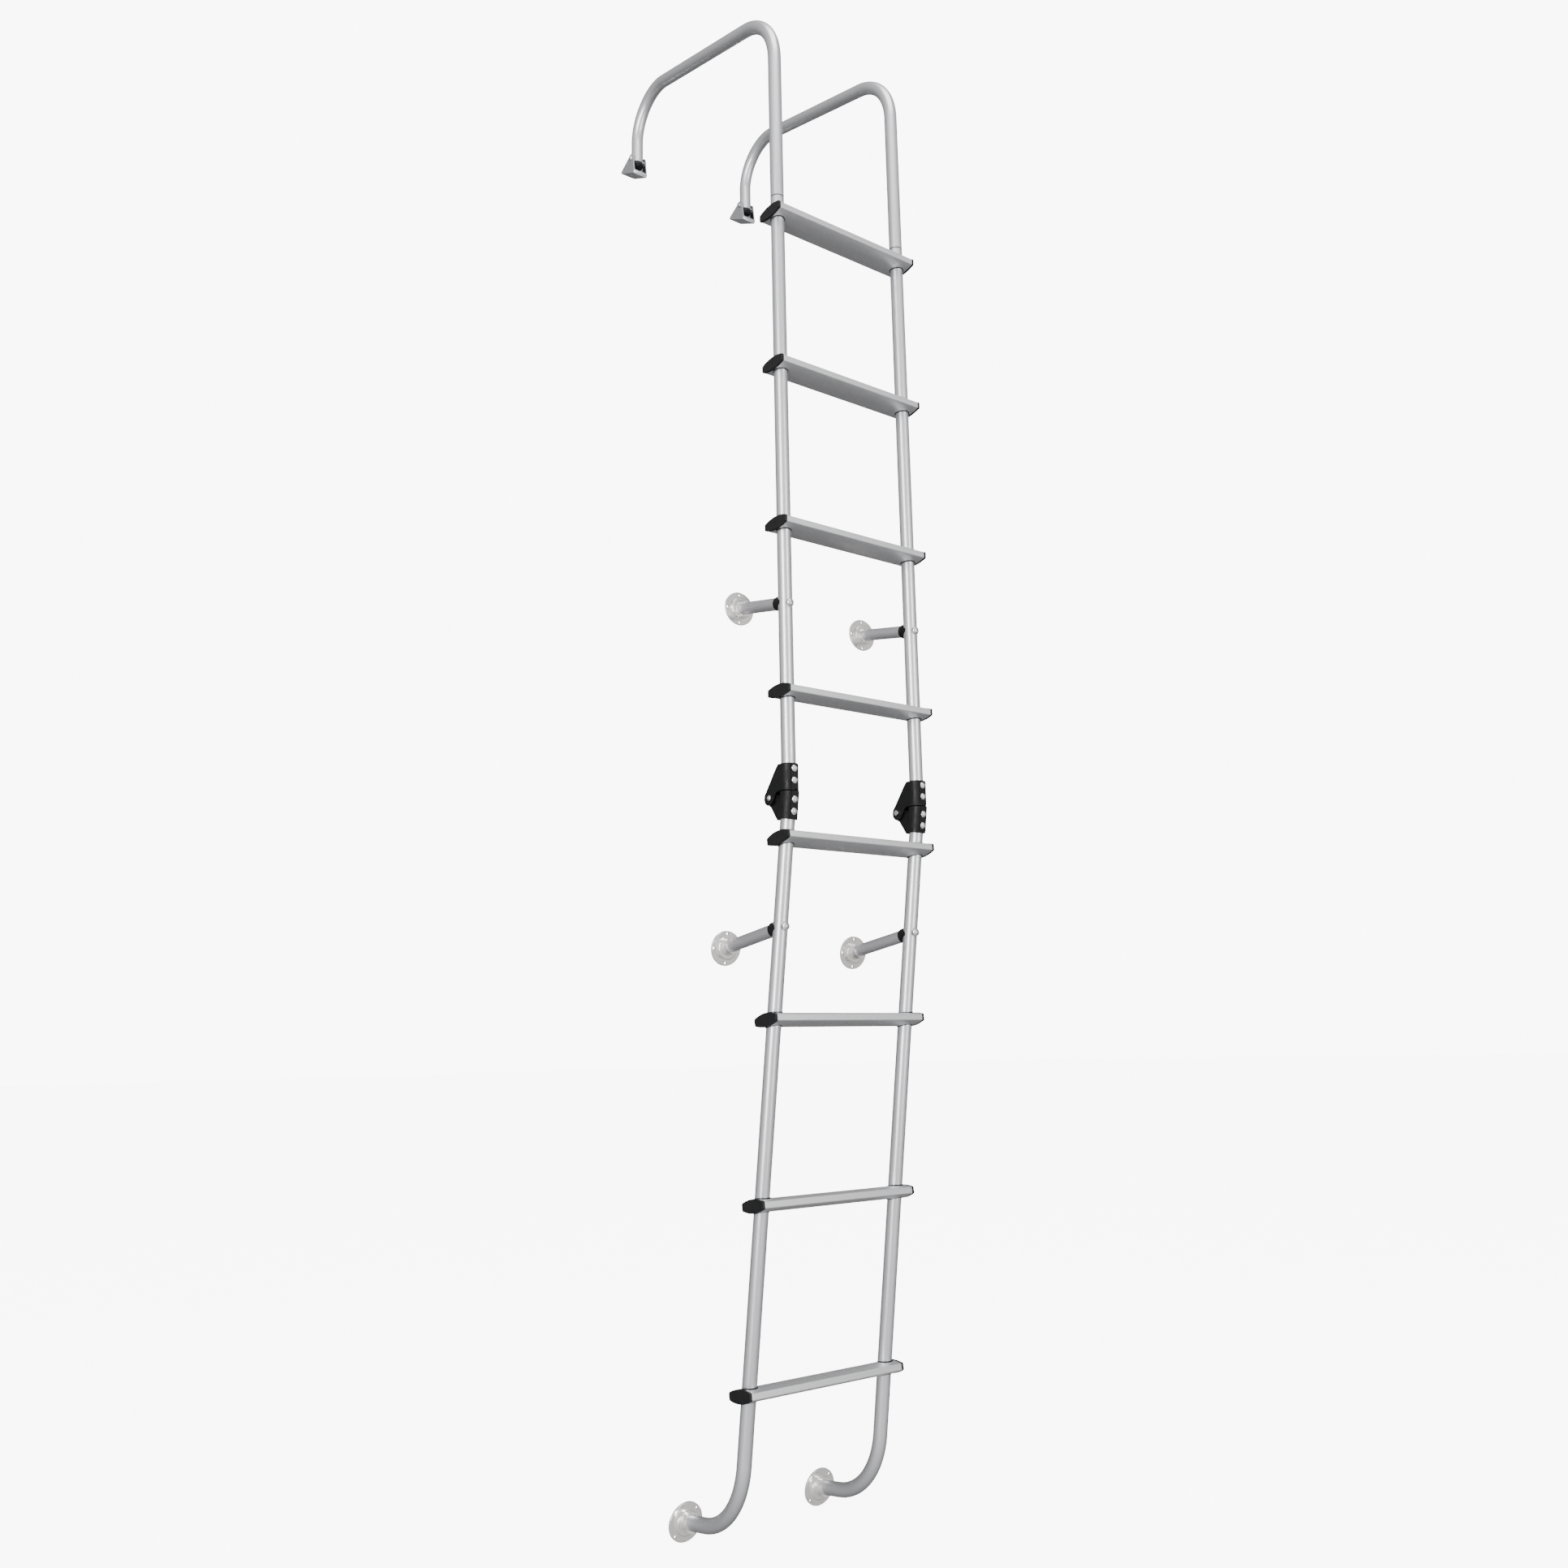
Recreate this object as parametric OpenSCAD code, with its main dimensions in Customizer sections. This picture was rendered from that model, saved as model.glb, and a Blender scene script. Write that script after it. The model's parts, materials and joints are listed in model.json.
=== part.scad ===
// Exterior wall ladder in two hinged halves, with hooks over the roof edge.
// Millimetres. +Z runs up the upper rails, +Y points into the wall, +X runs
// along the treads. The origin is the mounting face of the upper left base.

/* [Rails] */
// Outside diameter of the rail tube
rail_d = 25.4; // [24:0.1:27]
// Wall thickness of the rail tube
rail_wall = 2.5; // [1.5:0.1:3.5]
// Distance between the two rail axes
rail_gap = 292; // [260:1:360]
// Bend at the hinge, the lower half leaning towards the wall
bend = 8.3; // [0:0.1:15]

/* [Treads] */
// Distance from one tread to the next
tread_pitch = 304.8; // [250:0.1:340]
// Depth of a tread, front to back
tread_depth = 60; // [54:1:70]
// Thickness of a tread at its middle
tread_thick = 22; // [20:0.5:26]
// Thickness of a tread at its front and back edges
tread_edge = 11; // [8:0.5:14]
// Wall of the tread extrusion
tread_wall = 2; // [1.5:0.1:3]
// Height of the lowest upper tread above the hinge line
upper_first = 173.7; // [130:0.1:200]
// Depth of the highest lower tread below the hinge line
lower_first = 75.3; // [74:0.1:110]
// Slope of the lower treads, standoffs and bottom legs against their rails
lower_tilt = 16.2602; // [15.9:0.0001:16.6]

/* [Hooks] */
// Height of the joint between rail and hook
seam_z = 1122; // [1110:1:1160]
// Height where the hook starts to bend
hook_z = 1419; // [1300:1:1450]
// Radius of the first hook bend
hook_r = 130; // [100:1:160]
// Slope of the hook's arm
arm_slope = 16.2602; // [15:0.0001:18]
// Reach of the hook from rail axis to drop axis
hook_reach = 511.5; // [450:0.5:560]
// Radius of the second hook bend
drop_r = 87; // [70:1:110]
// Length of the straight drop
drop_len = 52.5; // [45:0.5:90]

/* [Wall mounts] */
// Distance from the upper rail axis to the wall
upper_reach = 142; // [130:1:180]
// Slope of the upper standoffs, up towards the wall
upper_tilt = 11.5; // [0:0.5:15]
// Height of the upper standoffs above the hinge line
upper_standoff_z = 334; // [300:1:400]
// Distance from the lower rail axis to its own wall plane
lower_reach = 160; // [150:1:180]
// Depth of the lower standoffs below the hinge line
lower_standoff_z = 226; // [220:1:270]
// Diameter of a standoff tube
standoff_d = 22.2; // [20:0.1:24]
// Diameter of a standoff base
base_d = 62; // [58:1:66]
// Bolt circle of a standoff base
base_pcd = 52; // [50:1:53]
// Diameter of a bottom base
foot_base_d = 67; // [64:1:72]
// Bolt circle of a bottom base
foot_base_pcd = 57; // [56:1:58]

/* [Hinge] */
// Distance of the pivot behind the rail axis
pivot_y = 36; // [33:0.5:42]
// Depth of the pivot below the parting line
pivot_drop = 8; // [6:0.5:10]
// Outside radius of a bracket sleeve
sleeve_r = 16.5; // [16:0.1:18]
// Length of a bracket sleeve
sleeve_len = 46; // [42:1:55]
// Angle left open between the two brackets
hinge_open = 2; // [1:0.5:4]

/* [Hidden] */
$fn = 96;
r_out = rail_d / 2;
r_in = r_out - rail_wall;
half = rail_gap / 2;
piv_z = -pivot_drop;
overhang = 19.5;                 // cap's outer face beyond the rail axis
cap_t = 4.5;
bush_wall = 2.1;                 // keeps a bush clear of the cap beside it
tread_half = half + overhang - cap_t;
sag = (tread_thick - tread_edge) / 2;
arc_r = (pow(tread_depth / 2, 2) + sag * sag) / (2 * sag);
arc_c = arc_r - tread_thick / 2;
so_r = standoff_d / 2;
so_in = so_r - 2;
gap = 0.05;                      // parts of one body that seat on each other
pin_r = 2.95;
pin_hole = 3;
leg_r = 140;                     // bend of the bottom leg
leg_z = -1102;                   // where that bend starts
leg_turn = 90 - lower_tilt;
leg_y1 = leg_r * (1 - cos(leg_turn));
leg_z1 = leg_z - leg_r * sin(leg_turn);
leg_len = (lower_reach - 5 - leg_y1) / cos(lower_tilt);
foot_z = leg_z1 - (lower_reach - leg_y1) * tan(lower_tilt);
turn_1 = 90 - arm_slope;
turn_2 = 90 + arm_slope;
arm_y0 = hook_r * (1 - cos(turn_1));
arm_z0 = hook_z + hook_r * sin(turn_1);
drop_cy = hook_reach - drop_r;
arm_y1 = drop_cy - drop_r * sin(arm_slope);
arm_z1 = arm_z0 + (arm_y1 - arm_y0) * tan(arm_slope);
arm_len = (arm_y1 - arm_y0) / cos(arm_slope);
drop_cz = arm_z1 - drop_r * cos(arm_slope);
drop_end = drop_cz - drop_len;
bolt_z = drop_end + 8;           // pivot of the roof foot
upper_base_z = upper_standoff_z + upper_reach * tan(upper_tilt);
lower_base_z = -lower_standoff_z - lower_reach * tan(lower_tilt);
upper_steps = [for (i = [3:-1:0]) upper_first + i * tread_pitch];
lower_steps = [for (i = [0:3]) -lower_first - i * tread_pitch];
alu = [0.77, 0.78, 0.80];
grey = [0.62, 0.63, 0.65];
black = [0.09, 0.09, 0.10];
steel = [0.83, 0.82, 0.80];

// ---- placing ----
// Puts children drawn round the upper rails' frame into the row frame.
module placed() translate([half, -upper_reach, -upper_base_z]) children();
// Turns children about the hinge pivot.
module about_pivot(a) translate([0, pivot_y, piv_z]) rotate([a, 0, 0])
  translate([0, -pivot_y, -piv_z]) children();
// The lower half's own frame, leaning by the bend.
module lower() placed() about_pivot(bend) children();
module at_side(s) translate([s * half, 0, 0]) children();
module both() for (s = [-1, 1]) at_side(s) children();

// ---- shared shapes ----
// Round bar from one point of the YZ plane to another.
module rod(y0, z0, y1, z1, r) translate([0, y0, z0])
  rotate([-atan2(y1 - y0, z1 - z0), 0, 0])
    cylinder(r = r, h = norm([y1 - y0, z1 - z0]));
// Bend of a bar that leaves the origin along +Z and turns towards +Y.
module bend_piece(big, turn, r) difference() {
  translate([0, big, 0]) rotate([90, 0, 90])
    rotate_extrude(angle = 180) translate([big, 0]) circle(r = r);
  bend_end(big, turn) translate([-100, -400, 0]) cube([200, 800, 400]);
}
// The frame at the far end of such a bend.
module bend_end(big, turn) translate([0, big, 0]) rotate([-turn, 0, 0])
  translate([0, -big, 0]) children();
// Turns +Z to point along +Y, sloped up by a.
module outward(a) rotate([a - 90, 0, 0]) children();

module hook_core(r, ext) {
  translate([0, 0, seam_z + 1.2 - ext])
    cylinder(r = r, h = hook_z - seam_z - 1.2 + ext);
  translate([0, 0, hook_z]) {
    bend_piece(hook_r, turn_1, r);
    bend_end(hook_r, turn_1) {
      cylinder(r = r, h = arm_len);
      translate([0, 0, arm_len]) {
        bend_piece(drop_r, turn_2, r);
        bend_end(drop_r, turn_2) cylinder(r = r, h = drop_len + ext);
      }
    }
  }
}
module hook(s) color(alu) placed() at_side(s) difference() {
  hook_core(r_out, 0);
  hook_core(r_in, 1);
  translate([0, hook_reach, bolt_z]) rotate([0, 90, 0])
    cylinder(r = pin_hole, h = 60, center = true);
}
module upper_rail(s) color(alu) placed() at_side(s) difference() {
  rod(0, 5, 0, seam_z, r_out);
  rod(0, 4, 0, seam_z + 1, r_in);
  for (z = [16, 36.5]) translate([0, 0, z]) rotate([90, 0, 0])
    cylinder(r = 2.5, h = 20);
  translate([0, 0, upper_standoff_z]) outward(upper_tilt)
    cylinder(r = 3.2, h = 60, center = true);
}
module leg_core(r, ext) rotate([0, 180, 0]) {
  translate([0, 0, 2 - ext]) cylinder(r = r, h = -leg_z - 2 + ext);
  translate([0, 0, -leg_z]) {
    bend_piece(leg_r, leg_turn, r);
    bend_end(leg_r, leg_turn) cylinder(r = r, h = leg_len + ext);
  }
}
module lower_rail(s) color(alu) lower() at_side(s) difference() {
  leg_core(r_out, 0);
  leg_core(r_in, 1);
  for (z = [-9, -29.5]) translate([0, 0, z]) rotate([90, 0, 0])
    cylinder(r = 2.5, h = 20);
  translate([0, 0, -lower_standoff_z]) outward(-lower_tilt)
    cylinder(r = 3.2, h = 60, center = true);
}

// Flat-ended lens, grown outwards by g.
module lens(g) intersection() {
  translate([0, -arc_c]) circle(r = arc_r + g, $fn = 360);
  translate([0, arc_c]) circle(r = arc_r + g, $fn = 360);
  square([tread_depth + 2 * g, 60], center = true);
}
// Tread extrusion: hollow lens, two webs, and grip grooves along the top.
module tread_profile() {
  difference() {
    lens(0);
    difference() {
      lens(-tread_wall);
      for (y = [-15.5, 15.5]) translate([y, 0])
        square([1.6, tread_thick], center = true);
    }
    for (i = [-5:5])
      translate([i * 4.8, sqrt(arc_r * arc_r - pow(i * 4.8, 2)) - arc_c + 0.3])
        circle(r = 0.9, $fn = 24);
  }
}
module tilted(z, a) translate([0, 0, z]) rotate([-a, 0, 0]) children();
module along_x(x0, x1) translate([x0, 0, 0]) rotate([90, 0, 90])
  linear_extrude(x1 - x0) children();
module tread(z, a) tilted(z, a) difference() {
  along_x(-tread_half, tread_half) tread_profile();
  both() rotate([a, 0, 0])
    cylinder(r = r_out + 0.3, h = 90, center = true);
}
module caps(z, a) tilted(z, a) for (s = [0, 1]) mirror([s, 0, 0])
  difference() {
    union() {
      along_x(tread_half, tread_half + cap_t - 1) lens(0.6);
      along_x(tread_half + cap_t - 1, tread_half + cap_t) lens(-0.4);
      for (y = [-22, 22]) translate([tread_half - 8, y, 0])
        rotate([0, 90, 0]) cylinder(r = 2.5, h = 8.5);
    }
    translate([tread_half + cap_t - 0.6, 0, 0]) rotate([0, 90, 0])
      cylinder(r = 1.6, h = 2);
  }
// Rings that close the tread holes round the rails, above and below.
module bushes(z, a) for (m = [0, 1]) both() difference() {
  translate([0, 0, z]) mirror([0, 0, m])
    cylinder(r = r_out + bush_wall, h = tread_thick / 2 + 2.6 + 16 * tan(a));
  tilted(z, a) along_x(-24, 24) union() {
    lens(gap);
    mirror([0, 1 - m]) translate([-30, 0]) square([60, 60]);
  }
  translate([0, 0, z - 60]) cylinder(r = r_out + gap, h = 120);
}

// ---- hinge ----
module ear_shape(r) {
  translate([pivot_y, piv_z]) circle(r = r);
}
// Cheeks of the upper bracket, seen along +X: y across, z up.
module upper_cheek() {
  polygon([[0, 0], [0, sleeve_len], [9, sleeve_len], [16, 39],
    [47.7, -1.3], [pivot_y, piv_z], [25.7, -16.6], [16, -2.5], [10, 0]]);
  ear_shape(13.5);
}
module cheeks(x0, x1) for (s = [0, 1]) mirror([s, 0, 0])
  along_x(x0, x1) children();
module upper_bracket(s) color(black) placed() at_side(s) difference() {
  union() {
    cylinder(r = sleeve_r, h = sleeve_len);
    translate([-7.5, -17.2, 2]) cube([15, 8, sleeve_len - 4]);
    cheeks(12.9, sleeve_r) upper_cheek();
  }
  translate([0, 0, 5 - gap]) cylinder(r = r_out + gap, h = sleeve_len);
  for (z = [16, 36.5]) translate([0, 0, z]) rotate([90, 0, 0])
    cylinder(r = 2.5, h = 30);
  translate([0, pivot_y, piv_z]) rotate([0, 90, 0])
    cylinder(r = pin_hole, h = 60, center = true);
}
module lower_cheek() {
  polygon([[0, -sleeve_len + 3], [0, -4], [17, -4.4], [pivot_y - 2.6, 2.7],
    [pivot_y, piv_z], [38.5, -18.9], [13, -46]]);
  ear_shape(11);
}
module lower_bracket(s) color(black) lower() at_side(s) difference() {
  union() {
    intersection() {
      union() {
        translate([0, 0, -sleeve_len + 3]) cylinder(r = sleeve_r, h = 60);
        translate([-7.5, -17.2, -sleeve_len + 5]) cube([15, 8, 60]);
      }
      about_pivot(hinge_open - bend) translate([-50, -50, -100.4])
        cube(100);
    }
    cheeks(8.4, 12.4) lower_cheek();
    along_x(-8.5, 8.5) intersection() {
      lower_cheek();
      translate([13, -20]) square([40, 40]);
    }
    along_x(-8.5, 8.5) ear_shape(15.5);
  }
  translate([0, 0, -80]) cylinder(r = r_out + gap, h = 78 + gap);
  for (z = [-9, -29.5]) translate([0, 0, z]) rotate([90, 0, 0])
    cylinder(r = 2.5, h = 30);
  translate([0, pivot_y, piv_z]) rotate([0, 90, 0])
    cylinder(r = pin_hole, h = 60, center = true);
}
// Domed screw head standing on z = 0, with a hex socket.
module button(r, h, socket) difference() {
  intersection() {
    cylinder(r = r, h = h);
    translate([0, 0, h - (r * r + h * h) / (2 * h)])
      sphere(r = (r * r + h * h) / (2 * h) + 0.15, $fn = 96);
  }
  translate([0, 0, h - 1.6]) cylinder(r = socket, h = 3, $fn = 6);
}
module bracket_screws(zs) both() for (z = zs) translate([0, 0, z])
  rotate([90, 0, 0]) {
    translate([0, 0, 17.25]) button(6, 3.2, 2.2);
    translate([0, 0, 8.6]) cylinder(r = 2.4, h = 8.7);
  }
module hinge_pin(s) color(steel) placed() at_side(s)
  translate([0, pivot_y, piv_z]) rotate([0, s * 90, 0]) {
    translate([0, 0, -sleeve_r - 0.1])
      cylinder(r = pin_r, h = 2 * sleeve_r + 0.2);
    translate([0, 0, sleeve_r + gap]) button(5, 2.6, 1.8);
    translate([0, 0, -sleeve_r - gap - 4]) cylinder(r = 5.4, h = 4, $fn = 6);
  }

// ---- standoffs ----
module standoff(z, a, reach) translate([0, 0, z]) outward(a) difference() {
  translate([0, 0, 21]) cylinder(r = so_r, h = reach / cos(a) - 26);
  translate([0, 0, 20]) cylinder(r = so_in, h = reach / cos(a));
}
module saddle(z, a) translate([0, 0, z]) difference() {
  outward(a) {
    cylinder(r = 13.2, h = 18);
    translate([0, 0, 17]) cylinder(r = 12.3, h = 4 - gap);
    translate([0, 0, 17]) cylinder(r = so_in - gap, h = 12);
  }
  cylinder(r = r_out + gap, h = 80, center = true);
  outward(a) cylinder(r = 3.2, h = 60);
}
// Bolt through the rail, on a washer hollowed to sit on the round tube.
module standoff_bolt(z, a) translate([0, 0, z]) {
  seat = (r_out + 7.6 * sin(abs(a))) / cos(a);
  outward(a) translate([0, 0, -seat - 0.6]) cylinder(r = 3.1, h = 62);
  outward(a) rotate([180, 0, 0]) translate([0, 0, seat + 0.5])
    button(6.2, 3.4, 2.4);
  difference() {
    outward(a) rotate([180, 0, 0]) translate([0, 0, r_out - 3])
      cylinder(r = 7.6, h = seat - r_out + 3.5);
    cylinder(r = r_out + gap, h = 60, center = true);
  }
}
// Round base on the wall at y = 0, its collar sloped by a to meet the tube.
module wall_base(d, pcd, tube_r, a, turn, hole) difference() {
  union() {
    rotate([90, 0, 0]) rotate_extrude() difference() {
      union() {
        translate([0, 0]) square([d / 2 - 1, 3.2]);
        square([d / 2, 2.2]);
        translate([d / 2 - 1, 2.2]) circle(r = 1, $fn = 32);
        square([tube_r + 8.6, 5.4]);
        square([tube_r + 6.6, 9.4]);
        translate([tube_r + 6.6, 7.4]) circle(r = 2, $fn = 32);
        square([tube_r + 8.6, 7.4]);
      }
      translate([-60, -30]) square([60, 60]);
    }
    rotate([90 + a, 0, 0]) translate([0, 0, 2])
      cylinder(r = tube_r + 3.4, h = 20);
  }
  rotate([90 + a, 0, 0]) translate([0, 0, 4.4])
    cylinder(r = tube_r + gap, h = 40);
  translate([-60, 0, -60]) cube([120, 40, 120]);
  for (i = [0:3]) rotate([90, turn + i * 90, 0]) translate([pcd / 2, 0, -1])
    cylinder(r = hole, h = 12);
}

// ---- roof foot ----
foot_t = 2.5;
foot_h = 32;
foot_half = 31;
foot_apex = 9.5;
foot_lean = 28;                  // how far the foot is swung up at rest
module foot_side() {
  difference() {
    union() {
      circle(r = foot_apex);
      polygon([[-foot_half, -foot_h], [foot_half, -foot_h],
        [foot_half, -foot_h + 5], [foot_apex * cos(30), foot_apex * sin(30)],
        [-foot_apex * cos(30), foot_apex * sin(30)],
        [-foot_half, -foot_h + 5]]);
    }
    circle(r = pin_hole);
  }
}
module at_foot(s) placed() translate([s * half, hook_reach, bolt_z])
  rotate([foot_lean, 0, 0]) children();
module foot_bracket(s) color(steel) at_foot(s) {
  cheeks(14.2, 14.2 + foot_t) foot_side();
  difference() {
    translate([-14.3, -foot_half, -foot_h])
      cube([28.6, 2 * foot_half, foot_t]);
    for (y = [-15, 15]) translate([0, y, -foot_h - 1])
      cylinder(r = 2.6, h = 5);
  }
  translate([-14.3, -foot_half, -foot_h]) cube([28.6, foot_t, 8]);
}
module foot_bolt(s) color(steel) at_foot(s) rotate([0, s * 90, 0]) {
  translate([0, 0, -21.5]) cylinder(r = pin_r, h = 38.3);
  translate([0, 0, 16.7 + gap]) button(5.6, 3.2, 2);
}
module foot_nut(s) color(steel) at_foot(s) rotate([0, s * 90, 0])
  difference() {
    translate([0, 0, -20.7]) cylinder(r = 5.8, h = 4 - gap, $fn = 6);
    translate([0, 0, -30]) cylinder(r = pin_r + gap, h = 20);
  }

// ---- nodes ----
module rail_splices() color(alu) placed() both() difference() {
  rod(0, seam_z - 60, 0, seam_z + 60, r_in - gap);
  rod(0, seam_z - 61, 0, seam_z + 61, r_in - 2);
}
module seam_rings() color(black) placed() both() difference() {
  rod(0, seam_z + gap, 0, seam_z + 1.2 - gap, r_out + 0.15);
  rod(0, seam_z - 1, 0, seam_z + 2, r_in + gap);
}
module hook_plugs() color(black) placed() both()
  translate([0, hook_reach, drop_end]) rotate([180, 0, 0]) {
    translate([0, 0, gap]) cylinder(r = r_out, h = 7);
    translate([0, 0, 7]) cylinder(r = r_out - 1.5, h = 3);
    translate([0, 0, 10]) cylinder(r = r_out - 4, h = 1);
    translate([0, 0, -3]) cylinder(r = r_in - gap, h = 4);
  }
module upper_step(i) color(alu) placed() tread(upper_steps[i - 1], 0);
module upper_caps(i) color(black) placed() caps(upper_steps[i - 1], 0);
module lower_step(i) color(alu) lower() tread(lower_steps[i - 5], lower_tilt);
module lower_caps(i) color(black) lower() caps(lower_steps[i - 5], lower_tilt);
module upper_step_bushes() color(black) placed()
  for (z = upper_steps) bushes(z, 0);
module lower_step_bushes() color(black) lower()
  for (z = lower_steps) bushes(z, lower_tilt);
module upper_bracket_screws() color(steel) placed()
  bracket_screws([16, 36.5]);
module lower_bracket_screws() color(steel) lower()
  bracket_screws([-9, -29.5]);
module upper_standoff(s) color(grey) placed() at_side(s)
  standoff(upper_standoff_z, upper_tilt, upper_reach);
module lower_standoff(s) color(grey) lower() at_side(s)
  standoff(-lower_standoff_z, -lower_tilt, lower_reach);
module upper_saddles() color(black) placed() both()
  saddle(upper_standoff_z, upper_tilt);
module lower_saddles() color(black) lower() both()
  saddle(-lower_standoff_z, -lower_tilt);
module upper_standoff_bolts() color(steel) placed() both()
  standoff_bolt(upper_standoff_z, upper_tilt);
module lower_standoff_bolts() color(steel) lower() both()
  standoff_bolt(-lower_standoff_z, -lower_tilt);
module upper_base(s) color(steel) placed()
  translate([s * half, upper_reach, upper_base_z])
    wall_base(base_d, base_pcd, so_r, upper_tilt, 0, 2.4);
module lower_base(s) color(steel) lower()
  translate([s * half, lower_reach, lower_base_z])
    wall_base(base_d, base_pcd, so_r, -lower_tilt, 0, 2.4);
module bottom_base(s) color(steel) lower()
  translate([s * half, lower_reach, foot_z])
    wall_base(foot_base_d, foot_base_pcd, r_out, -lower_tilt, 45, 2.4);

upper_rail(-1);  // upper_left_rail
upper_rail(1);  // upper_right_rail
hook(-1);  // left_hook
hook(1);  // right_hook
rail_splices();
seam_rings();
hook_plugs();
upper_step(1);  // step_1
upper_step(2);  // step_2
upper_step(3);  // step_3
upper_step(4);  // step_4
upper_caps(1);  // step_1_caps
upper_caps(2);  // step_2_caps
upper_caps(3);  // step_3_caps
upper_caps(4);  // step_4_caps
upper_step_bushes();
upper_bracket(-1);  // upper_left_bracket
upper_bracket(1);  // upper_right_bracket
upper_bracket_screws();
hinge_pin(-1);  // left_hinge_pin
hinge_pin(1);  // right_hinge_pin
upper_standoff(-1);  // upper_left_standoff
upper_standoff(1);  // upper_right_standoff
upper_saddles();
upper_standoff_bolts();
upper_base(-1);  // upper_left_base
upper_base(1);  // upper_right_base
lower_rail(-1);  // lower_left_rail
lower_rail(1);  // lower_right_rail
lower_step(5);  // step_5
lower_step(6);  // step_6
lower_step(7);  // step_7
lower_step(8);  // step_8
lower_caps(5);  // step_5_caps
lower_caps(6);  // step_6_caps
lower_caps(7);  // step_7_caps
lower_caps(8);  // step_8_caps
lower_step_bushes();
lower_bracket(-1);  // lower_left_bracket
lower_bracket(1);  // lower_right_bracket
lower_bracket_screws();
lower_standoff(-1);  // lower_left_standoff
lower_standoff(1);  // lower_right_standoff
lower_saddles();
lower_standoff_bolts();
lower_base(-1);  // lower_left_base
lower_base(1);  // lower_right_base
bottom_base(-1);  // bottom_left_base
bottom_base(1);  // bottom_right_base
foot_bracket(-1);  // left_foot_bracket
foot_bracket(1);  // right_foot_bracket
foot_bolt(-1);  // left_foot_bolt
foot_bolt(1);  // right_foot_bolt
foot_nut(-1);  // left_foot_nut
foot_nut(1);  // right_foot_nut
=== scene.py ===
"""Looks of a hinged exterior wall ladder: tubes, treads, brackets, bases.

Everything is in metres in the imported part's own frame: +Z runs up the upper
rails, +Y points into the wall and +X runs along the treads. The lower half
is drawn upright below the hinge and then leant by the bend at rest.
"""

import json
import logging
import math
from dataclasses import dataclass, field
from enum import Enum

import bmesh
import bpy
import numpy as np
from mathutils import Matrix, Vector


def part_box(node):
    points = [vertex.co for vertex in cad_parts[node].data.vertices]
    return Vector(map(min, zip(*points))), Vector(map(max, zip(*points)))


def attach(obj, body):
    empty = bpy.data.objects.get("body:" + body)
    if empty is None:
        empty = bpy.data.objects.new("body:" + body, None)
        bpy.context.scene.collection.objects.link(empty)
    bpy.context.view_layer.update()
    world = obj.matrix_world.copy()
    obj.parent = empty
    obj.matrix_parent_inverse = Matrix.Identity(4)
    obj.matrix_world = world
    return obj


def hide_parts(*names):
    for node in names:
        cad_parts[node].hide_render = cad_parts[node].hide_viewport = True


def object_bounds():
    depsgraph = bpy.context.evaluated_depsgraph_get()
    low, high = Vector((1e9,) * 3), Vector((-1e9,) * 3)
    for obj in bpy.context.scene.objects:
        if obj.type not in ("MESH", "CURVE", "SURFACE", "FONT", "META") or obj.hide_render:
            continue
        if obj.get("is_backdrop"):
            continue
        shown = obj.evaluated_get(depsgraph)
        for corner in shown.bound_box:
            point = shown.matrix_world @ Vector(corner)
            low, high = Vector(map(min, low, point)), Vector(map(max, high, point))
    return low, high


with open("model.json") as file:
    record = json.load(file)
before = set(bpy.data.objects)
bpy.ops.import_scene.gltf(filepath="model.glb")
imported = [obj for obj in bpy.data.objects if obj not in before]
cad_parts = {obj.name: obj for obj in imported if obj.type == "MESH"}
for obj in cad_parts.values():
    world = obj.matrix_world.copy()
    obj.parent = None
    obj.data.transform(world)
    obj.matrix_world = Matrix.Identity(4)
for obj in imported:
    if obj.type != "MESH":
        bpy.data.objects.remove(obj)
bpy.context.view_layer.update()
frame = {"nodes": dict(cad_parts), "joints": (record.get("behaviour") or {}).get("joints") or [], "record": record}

LOG = logging.getLogger("ladder")
MM = 0.001
SLOPE = math.radians(16.2602)  # of the roof arms, bottom legs, lower treads
WHITE = (1.0, 1.0, 1.0, 1.0)
Tone = tuple[float, float, float]


class Side(Enum):
    """Left and right as a climber faces the wall."""

    LEFT = "left"
    RIGHT = "right"


class Half(Enum):
    """The two bodies that the hinge joins."""

    UPPER = "upper_section"
    LOWER = "lower_section"


# ---- shader maths ----
class Wire:
    """A shader socket that can be used in sums and products."""

    def __init__(self, tree: bpy.types.NodeTree,
                 socket: bpy.types.NodeSocket) -> None:
        """Keeps the tree that new Math nodes go into, and the socket."""
        self.tree, self.socket = tree, socket

    def _math(self, kind: str, other: "Wire | float") -> "Wire":
        """Adds one Math node on this value and another.

        Args:
            kind: the node's operation.
            other: the second value.

        Returns:
            The node's result.
        """
        made = self.tree.nodes.new("ShaderNodeMath")
        made.operation = kind
        self.tree.links.new(self.socket, made.inputs[0])
        if isinstance(other, Wire):
            self.tree.links.new(other.socket, made.inputs[1])
        else:
            made.inputs[1].default_value = other
        return Wire(self.tree, made.outputs[0])

    def __add__(self, other: "Wire | float") -> "Wire":
        """Sum."""
        return self._math("ADD", other)

    def __mul__(self, other: "Wire | float") -> "Wire":
        """Product."""
        return self._math("MULTIPLY", other)

    __radd__ = __add__
    __rmul__ = __mul__


Fill = Wire | float | tuple


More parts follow.
